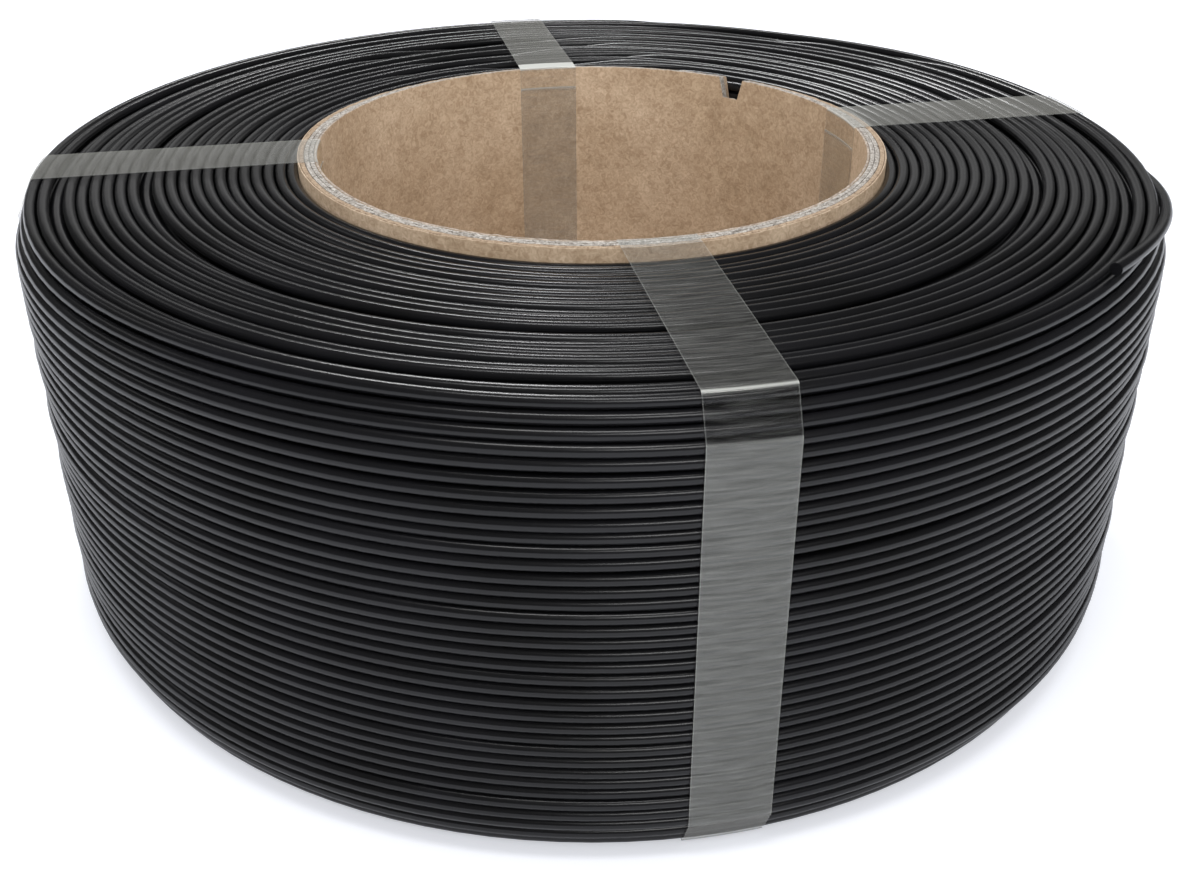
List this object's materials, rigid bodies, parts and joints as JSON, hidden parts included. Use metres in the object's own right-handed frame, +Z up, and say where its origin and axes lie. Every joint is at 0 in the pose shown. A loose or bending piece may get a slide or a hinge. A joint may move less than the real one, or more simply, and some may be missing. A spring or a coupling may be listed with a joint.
{
  "type": "filament refill coil",
  "caption": "Flangeless refill coil of round 3-D printing filament, wound in layers on a cardboard core and held by clear film straps.",
  "frame": {"origin": "on the core's axis, in the plane of the lowest faces, the film patches under the core's rim that the coil stands on", "axes": "+Z up along the core's axis; -Y is the front, where the first strap lies 11.5 degrees towards +X"},
  "size_m": [0.1748, 0.1748, 0.0686],
  "materials": {
    "kraft_paper": "matt brown kraft paper with mottled fibres",
    "grey_board": "matt recycled grey board, cut edges rough and pale",
    "filament": "satin black extruded plastic strand",
    "film": "clear, slightly hazy packing film"
  },
  "bodies": {
    "root": {"core_liner": "kraft_paper", "core_board_inner": "grey_board", "core_board_middle": "grey_board", "core_board_outer": "grey_board", "core_cover": "kraft_paper", "winding_inner_layers": "filament", "winding_outer_layer": "filament", "strap_front": "film", "strap_right": "film", "strap_back": "film", "strap_left": "film"}
  },
  "joints": []
}
